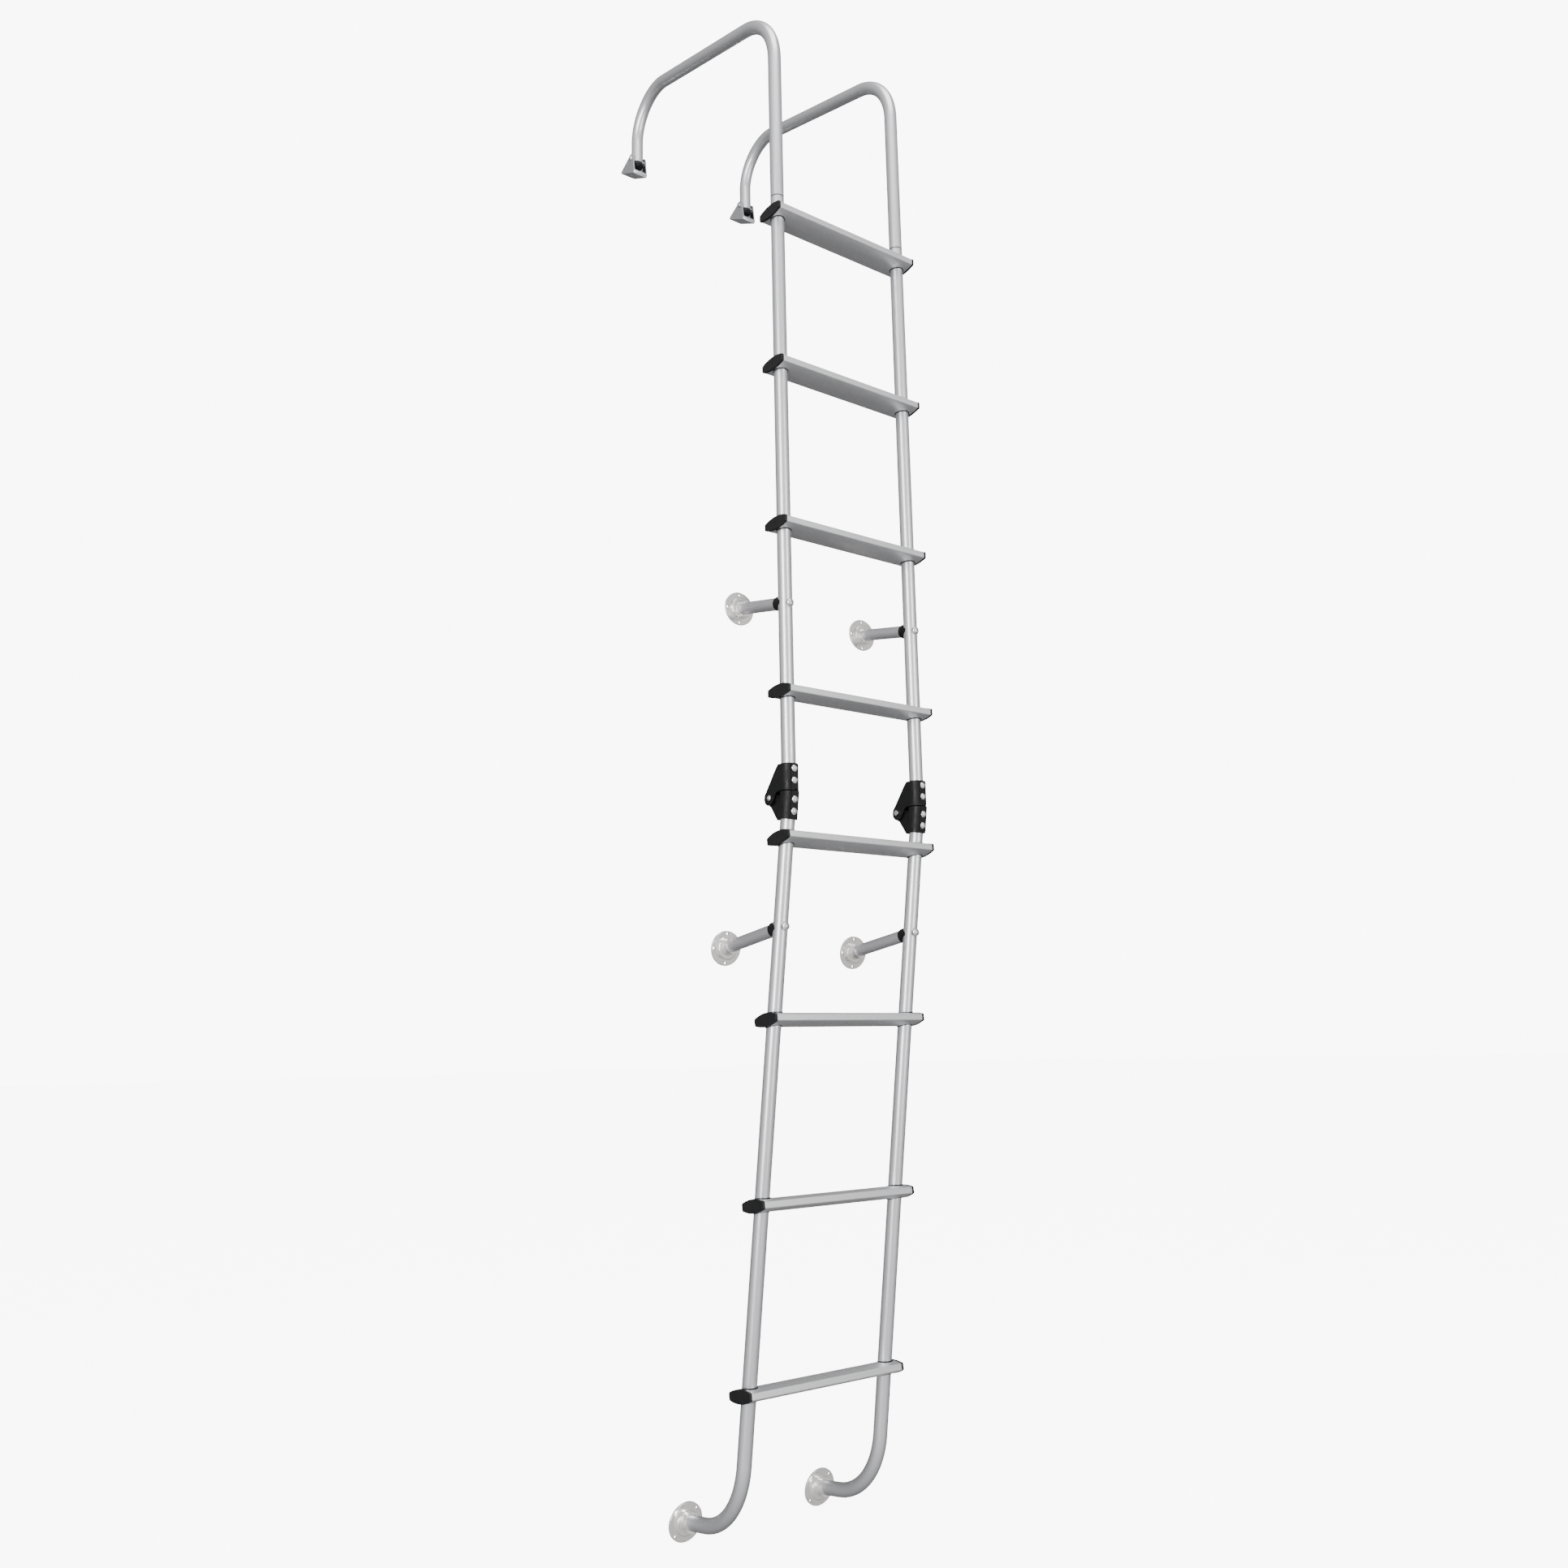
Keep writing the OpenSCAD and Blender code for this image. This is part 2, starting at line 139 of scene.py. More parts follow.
class Graph:
    """A node tree and the one method that adds other nodes to it."""

    def __init__(self, tree: bpy.types.NodeTree) -> None:
        """Keeps the tree."""
        self.tree = tree

    def own(self, kind: str) -> bpy.types.Node:
        """The node of a type that the tree starts with."""
        return next(n for n in self.tree.nodes if n.type == kind)

    def node(self, kind: str, settings: dict | None = None,
             output: str | None = None, **inputs: Fill) -> Wire:
        """Adds a node.

        Args:
            kind: the node's type name after "ShaderNode".
            settings: attributes set before its sockets are filled.
            output: the output wanted, if not the first enabled one.
            **inputs: socket name or identifier, with underscores for
                spaces, to a value or a Wire.

        Returns:
            The output.
        """
        made = self.tree.nodes.new("ShaderNode" + kind)
        for key, value in (settings or {}).items():
            setattr(made, key, value)
        for key, value in inputs.items():
            self.feed(made, key, value)
        first = next(o for o in made.outputs if o.enabled)
        return Wire(self.tree, made.outputs[output] if output else first)

    def feed(self, made: bpy.types.Node, key: str, value: Fill) -> None:
        """Links or sets one enabled input socket of a node.

        Args:
            made: the node.
            key: the socket's name or identifier, underscores for spaces.
            value: what goes in.
        """
        socket = next(s for s in made.inputs if s.enabled
                      and key in (s.name.replace(" ", "_"), s.identifier))
        if isinstance(value, Wire):
            self.tree.links.new(value.socket, socket)
        else:
            socket.default_value = value


class Paint(Graph):
    """One node material and the few calls that fill its tree."""

    def __init__(self, name: str) -> None:
        """Makes the material.

        Args:
            name: the material's name.
        """
        self.material = bpy.data.materials.new(name)
        self.material.use_nodes = True
        super().__init__(self.material.node_tree)

    def place(self, output: str, scale: Tone) -> Wire:
        """Texture place: Object or UV coordinates times a scale per axis."""
        spot = self.node("TexCoord", output=output)
        return self.node("Mapping", Vector=spot, Scale=scale)

    def noise(self, place: Wire, detail: float = 3.0) -> Wire:
        """Fractal noise at scale 1 on a place."""
        return self.node("TexNoise", Vector=place, Scale=1.0,
                         Detail=detail, Roughness=0.55)

    def spread(self, value: Wire, low: float, high: float) -> Wire:
        """Maps noise, which lies near 0.3 to 0.7, to low to high, clamped."""
        return self.node("MapRange", {"clamp": True}, Value=value,
                         From_Min=0.3, From_Max=0.7, To_Min=low, To_Max=high)

    def mix(self, mask: Wire, low: Tone, high: Tone) -> Wire:
        """Colour from low to high by a mask."""
        return self.node("Mix", {"data_type": "RGBA"}, Factor=mask,
                         A=(*low, 1.0), B=(*high, 1.0))

    def bump(self, height: Wire, strength: float, depth: float) -> Wire:
        """Normal bent by a height, in metres of depth."""
        return self.node("Bump", Height=height, Strength=strength,
                         Distance=depth)

    def dress(self, **inputs: Fill) -> bpy.types.Material:
        """Fills the main shader's sockets.

        Args:
            **inputs: socket name, with underscores, to a value or a Wire.

        Returns:
            The material.
        """
        for key, value in inputs.items():
            self.feed(self.own("BSDF_PRINCIPLED"), key, value)
        return self.material


def shade(tone: Tone, factor: float) -> Tone:
    """A colour times a factor, held within 0 to 1."""
    return tuple(min(max(c * factor, 0.0), 1.0) for c in tone)


@dataclass(frozen=True)
class DrawnAluminium:
    """Satin extruded aluminium: faint draw lines run along the piece."""

    name: str
    tone: Tone
    gloss: float = 0.34
    lines: float = 2600.0
    streaks: float = 60.0
    grain: float = 2600.0

    def material(self) -> bpy.types.Material:
        """Draw lines and soft cloudiness in colour, roughness and height.

        Returns:
            The material.
        """
        paint = Paint(self.name)
        fine = paint.noise(paint.place("UV", (self.lines, 1.5, 1.0)), 4.0)
        broad = paint.noise(paint.place("UV", (self.streaks, 4.0, 1.0)))
        grain = paint.noise(paint.place("Object", (self.grain,) * 3), 2.0)
        mask = paint.spread(fine * 0.55 + broad * 0.45, 0.0, 1.0)
        skin = fine * 0.5 + grain * 0.5
        return paint.dress(
            Base_Color=paint.mix(mask, shade(self.tone, 0.93),
                                 shade(self.tone, 1.05)),
            Roughness=paint.spread(skin, self.gloss - 0.05,
                                   self.gloss + 0.07),
            Metallic=0.92,
            Normal=paint.bump(skin, 0.12, 0.03 * MM),
        )


@dataclass(frozen=True)
class TexturedCoat:
    """Black coat or moulded plastic with a fine pebbled skin."""

    name: str
    tone: Tone
    gloss: float = 0.5
    pebble: float = 1500.0
    dust: float = 70.0
    depth: float = 0.08 * MM

    def material(self) -> bpy.types.Material:
        """Pebbles in height, with dusty patches that are duller and lighter.

        Returns:
            The material.
        """
        paint = Paint(self.name)
        pebble = paint.noise(paint.place("Object", (self.pebble,) * 3), 2.0)
        dust = paint.noise(paint.place("Object", (self.dust,) * 3), 4.0)
        mask = paint.spread(dust * 0.7 + pebble * 0.3, 0.0, 1.0)
        return paint.dress(
            Base_Color=paint.mix(mask, shade(self.tone, 0.75),
                                 shade(self.tone, 1.5)),
            Roughness=paint.spread(mask, self.gloss - 0.06,
                                   self.gloss + 0.12),
            Specular_IOR_Level=0.22,
            Normal=paint.bump(pebble, 0.5, self.depth),
        )


@dataclass(frozen=True)
class BrightSteel:
    """Polished or plated steel with light wipe marks and small clouds."""

    name: str
    tone: Tone
    gloss: float = 0.16
    clouds: float = 55.0
    wipes: Tone = (2400.0, 500.0, 150.0)

    def material(self) -> bpy.types.Material:
        """Clouds in colour and roughness, fine scratches in height.

        Returns:
            The material.
        """
        paint = Paint(self.name)
        cloud = paint.noise(paint.place("Object", (self.clouds,) * 3), 5.0)
        wipe = paint.noise(paint.place("Object", self.wipes))
        mask = paint.spread(cloud * 0.6 + wipe * 0.4, 0.0, 1.0)
        return paint.dress(
            Base_Color=paint.mix(mask, shade(self.tone, 0.86),
                                 shade(self.tone, 1.05)),
            Roughness=paint.spread(cloud * 0.5 + wipe * 0.5,
                                   self.gloss - 0.04, self.gloss + 0.10),
            Metallic=1.0,
            Normal=paint.bump(wipe, 0.12, 0.04 * MM),
        )


Finish = DrawnAluminium | TexturedCoat | BrightSteel
RAIL_SKIN = DrawnAluminium("rail_aluminium", (0.66, 0.665, 0.69))
TREAD_SKIN = DrawnAluminium("tread_aluminium", (0.68, 0.685, 0.70), 0.42,
                            900.0)
ARM_SKIN = DrawnAluminium("standoff_aluminium", (0.60, 0.60, 0.625), 0.42)
CASTING = TexturedCoat("black_casting", (0.003, 0.003, 0.0033), 0.42)
PLASTIC = TexturedCoat("black_plastic", (0.006, 0.006, 0.0065), 0.46, 1100.0)
BASE_STEEL = BrightSteel("stainless_base", (0.93, 0.915, 0.89), 0.15)
ZINC = BrightSteel("zinc_steel", (0.62, 0.64, 0.66), 0.24, 90.0)
FASTENER = BrightSteel("stainless_fastener", (0.74, 0.74, 0.73), 0.18, 220.0)


def joined(parts: list[bpy.types.Object],
           crease: float = 35.0) -> bpy.types.Object:
    """Merges several mesh objects into the first one.

    Args:
        parts: the objects; all but the first are removed.
        crease: edges that turn by more than this many degrees are sharp.

    Returns:
        The first object with every mesh in it.
    """
    shape = bmesh.new()
    for part in parts:
        shape.from_mesh(part.data)
    kept = parts[0]
    shape.to_mesh(kept.data)
    shape.free()
    kept.data.set_sharp_from_angle(angle=math.radians(crease))
    for part in parts[1:]:
        bpy.data.objects.remove(part)
    return kept


@dataclass
class Workshop:
    """Makes pieces from arrays, dresses them and hangs them on the frame."""

    merge: float = 2e-6
    flat: float = math.radians(0.6)
    crease: float = math.radians(32)
    paints: dict[str, bpy.types.Material] = field(init=False)
    count: int = field(default=0, init=False)

    def __post_init__(self) -> None:
        """Paints every finish once."""
        finishes = (RAIL_SKIN, TREAD_SKIN, ARM_SKIN, CASTING, PLASTIC,
                    BASE_STEEL, ZINC, FASTENER)
        self.paints = {f.name: f.material() for f in finishes}

    def solid(self, name: str, points: np.ndarray, faces: list[np.ndarray],
              uv: np.ndarray, crease: float = 35.0) -> bpy.types.Object:
        """Turns arrays into a smooth-shaded object with sharp creases.

        Args:
            name: the new object's name.
            points: vertex places, one row each.
            faces: the vertex numbers of each face.
            uv: a texture place for each face corner, in face order.
            crease: edges that turn by more than this many degrees are sharp.

        Returns:
            The new object, at the origin.
        """
        mesh = bpy.data.meshes.new(name)
        mesh.from_pydata(points.tolist(), [], [f.tolist() for f in faces])
        layer = mesh.uv_layers.new(name="along")
        layer.data.foreach_set("uv", uv.astype(np.float32).ravel())
        mesh.polygons.foreach_set("use_smooth", [True] * len(mesh.polygons))
        mesh.set_sharp_from_angle(angle=math.radians(crease))
        mesh.update()
        made = bpy.data.objects.new(name, mesh)
        bpy.context.scene.collection.objects.link(made)
        return made

    def grid(self, name: str, rows: np.ndarray, uv: np.ndarray,
             shut: bool) -> bpy.types.Object:
        """Skins rows of points, each row a closed ring.

        Face (i, j) joins points (i, j), (i, j + 1), (i + 1, j + 1) and
        (i + 1, j), with j counted round the ring.

        Args:
            name: the new object's name.
            rows: places, shape (rows, around, 3).
            uv: texture places, shape (rows + shut, around + 1, 2).
            shut: whether the last row joins the first; otherwise both end
                rings are closed by one face each.

        Returns:
            The new object.
        """
        count, around = rows.shape[:2]
        last = count if shut else count - 1
        i, j = np.meshgrid(np.arange(last), np.arange(around), indexing="ij")
        up, turn = (i + 1) % count, (j + 1) % around
        quads = np.stack([i * around + j, i * around + turn,
                          up * around + turn, up * around + j], -1)
        corners = np.stack([uv[i, j], uv[i, j + 1], uv[i + 1, j + 1],
                            uv[i + 1, j]], 2).reshape(-1, 2)
        faces = list(quads.reshape(-1, 4))
        if not shut:
            ring = np.arange(around)
            faces += [ring[::-1], ring + (count - 1) * around]
            corners = np.concatenate([corners, uv[0, ring[::-1]],
                                      uv[-1, ring]])
        return self.solid(name, rows.reshape(-1, 3), faces, corners)

    def copy_of(self, node: str, bevel: float,
                segments: int = 2) -> bpy.types.Object:
        """A merged copy of a CAD node's mesh with its edges softened.

        Args:
            node: the CAD node.
            bevel: width of the softened edge in metres.
            segments: faces across that edge.

        Returns:
            The copy as a new object.
        """
        mesh = frame["nodes"][node].data.copy()
        shape = bmesh.new()
        shape.from_mesh(mesh)
        bmesh.ops.remove_doubles(shape, verts=shape.verts, dist=self.merge)
        bmesh.ops.dissolve_limit(shape, angle_limit=self.flat,
                                 verts=shape.verts, edges=shape.edges)
        shape.to_mesh(mesh)
        shape.free()
        mesh.polygons.foreach_set("use_smooth", [True] * len(mesh.polygons))
        mesh.set_sharp_from_angle(angle=self.crease)
        made = bpy.data.objects.new("shaped_" + node, mesh)
        bpy.context.scene.collection.objects.link(made)
        edge = made.modifiers.new("soft edges", "BEVEL")
        edge.width, edge.segments = bevel, segments
        edge.limit_method, edge.angle_limit = "ANGLE", self.crease
        return made

    def hang(self, piece: bpy.types.Object, finish: Finish, half: str,
             node: str) -> None:
        """Dresses a piece, rides it on a body and lets it stand for a node.

        Args:
            piece: the finished object.
            finish: what it is covered with.
            half: the body that it rides on.
            node: the CAD node that it replaces.
        """
        piece.data.materials.clear()
        piece.data.materials.append(self.paints[finish.name])
        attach(piece, half)
        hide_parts(node)
        self.count += 1
        LOG.info("%s rides on %s in %s", piece.name, half, finish.name)


# ---- the ladder's own frames ----
@dataclass
class Stance:
    """Where the two halves stand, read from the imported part."""

    pivot: Vector = field(init=False)
    rail_y: float = field(init=False)
    bend: float = field(init=False)
    radius: float = field(init=False)

    def __post_init__(self) -> None:
        """Reads the hinge axis, the rails' line and the bend at rest."""
        hinge = next(j for j in frame["joints"] if j["name"] == "bend_hinge")
        low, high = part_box("upper_left_rail")
        self.pivot = Vector(hinge["pos_m"])
        self.rail_y = (low.y + high.y) / 2
        self.radius = (high.x - low.x) / 2
        axis = self.mount("bottom_left_base")["axis"]
        self.bend = math.atan2(axis[2], axis[1])

    @staticmethod
    def mount(name: str) -> dict:
        """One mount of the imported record, by name."""
        mounts = frame["record"]["mounts"]
        return next(m for m in mounts if m["name"] == name)

    def rail_x(self, side: Side) -> float:
        """X of a rail's axis."""
        low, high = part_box(f"upper_{side.value}_rail")
        return (low.x + high.x) / 2

    def turned(self, half: Half, y: np.ndarray | list[float],
               z: np.ndarray | list[float]) -> tuple[np.ndarray, np.ndarray]:
        """Leans points of the YZ plane with their half.

        The lower half is drawn upright and turned about the pivot by the
        bend: y' = y cos b - z sin b and z' = y sin b + z cos b.

        Args:
            half: the half that the points belong to.
            y: their Y as drawn.
            z: their Z as drawn.

        Returns:
            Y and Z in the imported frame.
        """
        y, z = np.asarray(y, float), np.asarray(z, float)
        if half is Half.UPPER:
            return y, z
        y, z = y - self.pivot.y, z - self.pivot.z
        c, s = math.cos(self.bend), math.sin(self.bend)
        return self.pivot.y + y * c - z * s, self.pivot.z + y * s + z * c

    def unturned(self, y: float, z: float) -> tuple[float, float]:
        """Takes a point of the lower half back to the upright drawing.

        Args:
            y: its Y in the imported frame.
            z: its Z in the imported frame.

        Returns:
            Y and Z as drawn.
        """
        c, s = math.cos(self.bend), math.sin(self.bend)
        y, z = y - self.pivot.y, z - self.pivot.z
        return self.pivot.y + y * c + z * s, self.pivot.z + z * c - y * s


@dataclass
class Line:
    """A path in the YZ plane, grown from straights and arcs."""

    y: list[float]
    z: list[float]
    heading: float

    def go(self, length: float, steps: int = 1) -> "Line":
        """Goes straight on. Heading 0 is +Z and 90 degrees is +Y.

        Args:
            length: how far.
            steps: points added on the way.

        Returns:
            The line itself.
        """
        for _ in range(steps):
            self.y.append(self.y[-1] + math.sin(self.heading) * length / steps)
            self.z.append(self.z[-1] + math.cos(self.heading) * length / steps)
        return self

    def turn(self, radius: float, angle: float, steps: int) -> "Line":
        """Goes round an arc; a positive angle turns from +Z to +Y.

        Each step is a chord of length 2 r sin(a / 2), laid half an angle on.

        Args:
            radius: the arc's radius.
            angle: how far it turns, in radians.
            steps: points added on the way.

        Returns:
            The line itself.
        """
        step = angle / steps
        chord = 2 * radius * math.sin(abs(step) / 2)
        for _ in range(steps):
            self.heading += step / 2
            self.go(chord)
            self.heading += step / 2
        return self


@dataclass
class Tubes:
    """Rails, roof hooks, bent legs and standoff arms, all of round tube."""

    stance: Stance
    shop: Workshop
    wall: float = 2.5 * MM
    arm_wall: float = 2 * MM
    lip: float = 0.5 * MM
    hook_radius: float = 0.130
    drop_radius: float = 0.087
    leg_radius: float = 0.140
    plug_head: float = 3 * MM
    base_floor: float = 5 * MM
    pivot_drop: float = 8 * MM
    leg_gap: float = 2 * MM
    around: int = 72
    long_steps: int = 40
    arm_points: int = 9

    def sleeve(self, name: str, x: float, y: np.ndarray, z: np.ndarray,
               outer: float, inner: float) -> bpy.types.Object:
        """Skins a hollow tube along a path in the plane at x.

        The ring at path point P has the points P + r (cos a X + sin a N),
        where N is the path's normal in the plane. Rows run down the outside,
        over a small rounded lip, and back up the inside.

        Args:
            name: the new object's name.
            x: X of the plane.
            y: Y of the path's points.
            z: Z of the path's points.
            outer: outside radius.
            inner: inside radius.

        Returns:
            The tube, with texture places in metres round and along it.
        """
        path = np.stack([y, z], -1)
        run = np.gradient(path, axis=0)
        run /= np.linalg.norm(run, axis=1, keepdims=True)
        normal = np.stack([run[:, 1], -run[:, 0]], -1)
        along = np.concatenate([[0], np.cumsum(
            np.linalg.norm(np.diff(path, axis=0), axis=1))])
        lip = self.lip
        first, last = path[:1] + run[:1] * lip, path[-1:] - run[-1:] * lip
        middle = slice(1, -1)
        centre = np.concatenate([path[:1], first, path[middle], last,
                                 path[-1:], path[::-1]])
        normals = np.concatenate([normal[:1], normal[:1], normal[middle],
                                  normal[-1:], normal[-1:], normal[::-1]])
        length = np.concatenate([along[:1], along[:1] + lip, along[middle],
                                 along[-1:] - lip, along[-1:], along[::-1]])
        skin = np.full(len(path) + 2, outer)
        skin[[0, -1]] = outer - lip
        radii = np.concatenate([skin, np.full(len(path), inner)])[:, None]
        angle = np.linspace(0, 2 * np.pi, self.around, endpoint=False)
        rows = np.empty((len(centre), self.around, 3))
        rows[..., 0] = x + radii * np.cos(angle)
        rows[..., 1:] = (centre[:, None] + (radii * np.sin(angle))[..., None]
                         * normals[:, None])
        uv = np.empty((len(centre) + 1, self.around + 1, 2))
        uv[..., 0] = np.linspace(0, 2 * np.pi * outer, self.around + 1)
        uv[..., 1] = np.append(length, length[0])[:, None]
        return self.shop.grid(name, rows, uv, shut=True)

    def hook_line(self, side: Side) -> Line:
        """Up, over the roof edge, along the sloping arm and down.

        The arm touches both bends, so with slope s, radii R and r and bend
        centres C and c, the heights keep (C - c) . n = r - R for its normal n.

        Args:
            side: which hook.

        Returns:
            The tube's path.
        """
        low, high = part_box(f"{side.value}_hook")
        bend, drop = self.hook_radius, self.drop_radius
        y0, y1 = self.stance.rail_y, high.y - self.stance.radius
        far_z = high.z - self.stance.radius - drop
        across = (y0 + bend) - (y1 - drop)
        near_z = far_z + (drop - bend + across * math.sin(SLOPE)) \
            / math.cos(SLOPE)
        reach = -across - (drop - bend) * math.sin(SLOPE)
        line = Line([y0], [low.z], 0.0).go(near_z - low.z, 12)
        line.turn(bend, math.pi / 2 - SLOPE, 40)
        line.go(reach / math.cos(SLOPE), 14)
        line.turn(drop, math.pi / 2 + SLOPE, 44)
        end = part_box("hook_plugs")[1].z - self.plug_head
        return line.go(line.z[-1] - end, 4)

    def leg_line(self, side: Side) -> Line:
        """Down the lower rail and round to its wall base.

        With bend radius r, turn t and end slope s, the base lies
        r (1 - cos t) + e out and L + r sin t + e tan s down, where e is how
        far out the last straight goes and L is the length above the bend.

        Args:
            side: which leg.

        Returns:
            The tube's path, as drawn upright.
        """
        zero = self.stance.pivot.z + self.pivot_drop
        turn = math.pi / 2 - SLOPE
        base = self.stance.mount(f"bottom_{side.value}_base")["pos_m"]
        y, z = self.stance.unturned(base[1], base[2])
        out = y - self.stance.rail_y - self.leg_radius * (1 - math.cos(turn))
        straight = (zero - z - self.leg_radius * math.sin(turn)
                    - out * math.tan(SLOPE))
        line = Line([self.stance.rail_y], [zero - self.leg_gap], math.pi)
        line.go(straight - self.leg_gap, self.long_steps)
        line.turn(self.leg_radius, -turn, 44)
        return line.go((y - self.base_floor - line.y[-1]) / math.cos(SLOPE), 4)

    def build(self) -> None:
        """Makes every tube on both sides."""
        for side in Side:
            name = side.value
            low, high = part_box(f"upper_{name}_rail")
            line = Line([self.stance.rail_y], [low.z], 0.0)
            line.go(high.z - low.z, self.long_steps)
            self.rail(f"upper_{name}_rail", side, line, Half.UPPER)
            self.rail(f"{name}_hook", side, self.hook_line(side), Half.UPPER)
            self.rail(f"lower_{name}_rail", side, self.leg_line(side),
                      Half.LOWER)
            self.arm(f"upper_{name}_standoff", side, Half.UPPER)
            self.arm(f"lower_{name}_standoff", side, Half.LOWER)

    def rail(self, node: str, side: Side, line: Line, half: Half) -> None:
        """Skins a rail tube and lets it stand for its node.

        Args:
            node: the CAD node.
            side: which side it is on.
            line: the tube's path.
            half: the half that carries it.
        """
        y, z = self.stance.turned(half, line.y, line.z)
        radius = self.stance.radius
        made = self.sleeve("tube_" + node, self.stance.rail_x(side), y, z,
                           radius, radius - self.wall)
        self.shop.hang(made, RAIL_SKIN, half.value, node)

    def arm(self, node: str, side: Side, half: Half) -> None:
        """Skins a standoff arm from its saddle into its base.

        The arm's ends come from its node's box: a tube of radius r at slope
        a has a box of length L cos a + 2 r sin a by L sin a + 2 r cos a. The
        slope is found by putting the last one back in, until it settles.

        Args:
            node: the CAD node.
            side: which side it is on.
            half: the half that carries it.
        """
        low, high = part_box(node)
        radius = (high.x - low.x) / 2
        wide, tall = high.y - low.y, high.z - low.z
        slope = math.atan2(tall, wide)
        for _ in range(30):
            slope = math.atan2(tall - 2 * radius * math.cos(slope),
                               wide - 2 * radius * math.sin(slope))
        rise = slope if half is Half.UPPER else -slope
        centre = (low + high) / 2
        length = (wide - 2 * radius * math.sin(slope)) / math.cos(slope)
        t = np.linspace(-length / 2, length / 2, self.arm_points)
        made = self.sleeve("tube_" + node, self.stance.rail_x(side),
                           centre.y + t * math.cos(rise),
                           centre.z + t * math.sin(rise),
                           radius, radius - self.arm_wall)
        self.shop.hang(made, ARM_SKIN, half.value, node)


@dataclass
class Treads:
    """Eight grooved treads with caps, and the rings round their holes."""

    stance: Stance
    shop: Workshop
    depth: float = 60 * MM
    thick: float = 22 * MM
    edge: float = 11 * MM
    corner: float = 1.3 * MM
    groove: float = 0.55 * MM
    groove_half: float = 0.85 * MM
    groove_step: float = 4.8 * MM
    grooves: int = 11
    cap_thick: float = 4.5 * MM
    cap_proud: float = 0.6 * MM
    cap_tuck: float = 2 * MM
    cap_round: float = 0.9 * MM
    dimple: float = 1.6 * MM
    dimple_deep: float = 0.75 * MM
    ring_gap: float = 0.1 * MM
    ring_wide: float = 1.1 * MM
    ring_tall: float = 1.2 * MM
    ring_root: float = 1.5 * MM
    sharpness: float = 60.0

    def arc(self) -> float:
        """Radius (d^2 + s^2) / 2s of the crown: half depth d, sagitta s."""
        sag = (self.thick - self.edge) / 2
        return ((self.depth / 2) ** 2 + sag**2) / (2 * sag)

    def crown(self, y: np.ndarray) -> np.ndarray:
        """Half thickness at y: an arc through the middle and both edges."""
        return np.sqrt(self.arc() ** 2 - y**2) - self.arc() + self.thick / 2

    def outline(self) -> np.ndarray:
        """Closed outline in (y, z), front edge first, over the top.

        Near its corners the height drops by a quarter circle, and on top it
        dips in narrow round-bottomed grooves.

        Returns:
            The outline's points, one row each.
        """
        half = self.depth / 2
        y = half * np.sin(np.linspace(-0.5, 0.5, 321) * np.pi)
        near = np.clip(np.abs(y) - (half - self.corner), 0, self.corner)
        drop = self.corner - np.sqrt(self.corner**2 - near**2)
        side = self.crown(y) - drop
        nearest = np.round(y / self.groove_step)
        offset = (y - nearest * self.groove_step) / self.groove_half
        inside = (np.abs(nearest) <= self.grooves // 2) & (np.abs(offset) < 1)
        dip = np.where(inside, np.cos(offset * np.pi / 2) ** 2, 0.0)
        return np.concatenate([np.stack([y, side - dip * self.groove], -1),
                               np.stack([y, -side], -1)[::-1]])

    def placed(self, x: np.ndarray, y: np.ndarray, z: np.ndarray,
               centre: Vector, half: Half) -> np.ndarray:
        """Turns tread points by the half's tilt and moves them to a centre.

        Args:
            x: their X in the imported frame.
            y: their Y from the tread's centre.
            z: their Z from the tread's centre.
            centre: where the centre goes.
            half: the half that carries the tread.

        Returns:
            The places, X, Y and Z last.
        """
        spin = self.stance.bend - SLOPE if half is Half.LOWER else 0.0
        c, s = math.cos(spin), math.sin(spin)
        return np.stack([x + np.zeros_like(y), centre.y + y * c - z * s,
                         centre.z + y * s + z * c], -1)

    def centre(self, number: int) -> Vector:
        """Middle of a tread, from its caps' box."""
        low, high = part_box(f"step_{number}_caps")
        return (low + high) / 2

    def board(self, number: int, half: Half) -> None:
        """Extrudes one tread's outline along X between its caps.

        Args:
            number: the tread, counted from the top.
            half: the half that carries it.
        """
        low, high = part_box(f"step_{number}")
        outline = self.outline()[::-1]
        x = np.linspace(low.x, high.x, 25)[:, None]
        rows = self.placed(x, outline[None, :, 0] + 0 * x,
                           outline[None, :, 1] + 0 * x,
                           self.centre(number), half)
        steps = np.linalg.norm(np.diff(outline, axis=0, append=outline[:1]),
                               axis=1)
        uv = np.empty((len(x), len(outline) + 1, 2))
        uv[..., 0] = np.concatenate([[0], np.cumsum(steps)])
        uv[..., 1] = x
        made = self.shop.grid(f"tread_{number}", rows, uv, shut=False)
        self.shop.hang(made, TREAD_SKIN, half.value, f"step_{number}")

    def rim(self, grow: float, angle: np.ndarray) -> np.ndarray:
        """Cap outline as a distance from its centre at each angle.

        The ray meets the flat end at d / |cos a|, or the crown's arc at q
        with q^2 + 2 q k |sin a| = R^2 - k^2, its centre k below the middle.
        The smaller one counts, and a soft minimum rounds the corner.

        Args:
            grow: how far the outline stands outside the tread's own.
            angle: the angles.

        Returns:
            The distances.
        """
        drop = self.arc() - self.thick / 2
        radius, half = self.arc() + grow, self.depth / 2 + grow
        rise = drop * np.abs(np.sin(angle))
        crown = np.sqrt(rise**2 + radius**2 - drop**2) - rise
        flat = half / np.maximum(np.abs(np.cos(angle)), 1e-6)
        power = self.sharpness
        return (crown**-power + flat**-power) ** (-1 / power)

